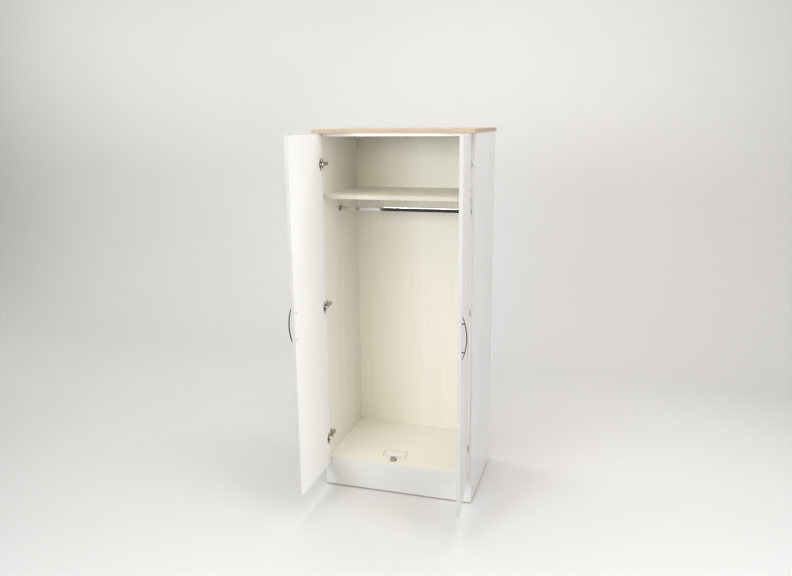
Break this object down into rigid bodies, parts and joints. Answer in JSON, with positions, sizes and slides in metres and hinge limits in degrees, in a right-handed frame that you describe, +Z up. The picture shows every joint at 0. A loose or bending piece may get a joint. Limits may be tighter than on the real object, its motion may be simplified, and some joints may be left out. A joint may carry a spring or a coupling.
{
  "type": "wardrobe with doors",
  "caption": "Tall free-standing wardrobe with swing doors on concealed cup hinges, bow handles, a hat shelf over an oval hanging rail, and an overhanging oak-effect top.",
  "frame": {"origin": "on the floor, midway between the side panels, in the plane of the side panels' front edges", "axes": "+X towards the right door, +Y from the front edges back into the wardrobe, +Z up"},
  "size_m": [0.8326, 0.9169, 1.85],
  "materials": {
    "white_gloss": "gloss white melamine foil on chipboard",
    "white_board": "warm white wood-effect melamine on chipboard, satin",
    "back_board": "cream wood-effect printed hardboard with faint upright grain",
    "oak_foil": "light oak wood-effect melamine, satin",
    "chrome_tube": "polished chrome",
    "satin_handle": "satin dark metal",
    "screw_steel": "zinc plated",
    "nickel_plate": "nickel plated steel",
    "white_plastic": "moulded nylon",
    "grey_plastic": "moulded plastic, satin",
    "label_paper": "blank paper label with a thin border"
  },
  "bodies": {
    "carcass": {"side_panel_left": "white_gloss", "side_panel_right": "white_gloss", "top_panel": "white_board", "oak_top": "oak_foil", "hat_shelf": "white_board", "floor_panel": "white_board", "plinth_front": "white_gloss", "plinth_rear": "white_board", "back_panel": "back_board", "hanging_rail": "chrome_tube", "rail_socket_left": "chrome_tube", "rail_socket_right": "chrome_tube", "floor_fitting": "grey_plastic", "floor_fitting_screw": "screw_steel", "floor_label": "label_paper", "glide_front_left": "white_plastic", "glide_front_right": "white_plastic", "glide_rear_left": "white_plastic", "glide_rear_right": "white_plastic", "hinge_arm_left_upper": "nickel_plate", "hinge_arm_left_middle": "nickel_plate", "hinge_arm_left_lower": "nickel_plate", "hinge_plate_left_upper": "nickel_plate", "hinge_plate_left_middle": "nickel_plate", "hinge_plate_left_lower": "nickel_plate", "hinge_arm_right_upper": "nickel_plate", "hinge_arm_right_middle": "nickel_plate", "hinge_arm_right_lower": "nickel_plate", "hinge_plate_right_upper": "nickel_plate", "hinge_plate_right_middle": "nickel_plate", "hinge_plate_right_lower": "nickel_plate"},
    "left_hinge_links": {"hinge_link_left_upper": "nickel_plate", "hinge_link_left_middle": "nickel_plate", "hinge_link_left_lower": "nickel_plate"},
    "left_door": {"door_left": "white_gloss", "handle_left": "satin_handle", "handle_screw_left_upper": "screw_steel", "handle_screw_left_lower": "screw_steel", "hinge_cup_left_upper": "nickel_plate", "hinge_cup_left_middle": "nickel_plate", "hinge_cup_left_lower": "nickel_plate"},
    "right_hinge_links": {"hinge_link_right_upper": "nickel_plate", "hinge_link_right_middle": "nickel_plate", "hinge_link_right_lower": "nickel_plate"},
    "right_door": {"door_right": "white_gloss", "handle_right": "satin_handle", "handle_screw_right_upper": "screw_steel", "handle_screw_right_lower": "screw_steel", "hinge_cup_right_upper": "nickel_plate", "hinge_cup_right_middle": "nickel_plate", "hinge_cup_right_lower": "nickel_plate"}
  },
  "joints": [
    {"name": "left_link_pivot", "type": "hinge", "parent": "carcass", "child": "left_hinge_links", "pos_m": [-0.353, 0.002, 0.979], "axis": [0, 0, 1], "range_deg": [-35.15, 3.17]},
    {"name": "left_door_pivot", "type": "hinge", "parent": "left_hinge_links", "child": "left_door", "pos_m": [-0.36345, -0.01635, 0.979], "axis": [0, 0, 1], "range_deg": [-11.12, 125.1]},
    {"name": "right_link_pivot", "type": "hinge", "parent": "carcass", "child": "right_hinge_links", "pos_m": [0.353, 0.002, 0.979], "axis": [0, 0, -1], "range_deg": [-37.49, 0.83]},
    {"name": "right_door_pivot", "type": "hinge", "parent": "right_hinge_links", "child": "right_door", "pos_m": [0.36269, -0.01676, 0.979], "axis": [0, 0, -1], "range_deg": [-2.78, 133.44]}
  ],
  "couplings": [
    {"joint": "left_link_pivot", "follows": "left_door_pivot", "ratio": -0.28058},
    {"joint": "right_link_pivot", "follows": "right_door_pivot", "ratio": -0.28058}
  ]
}
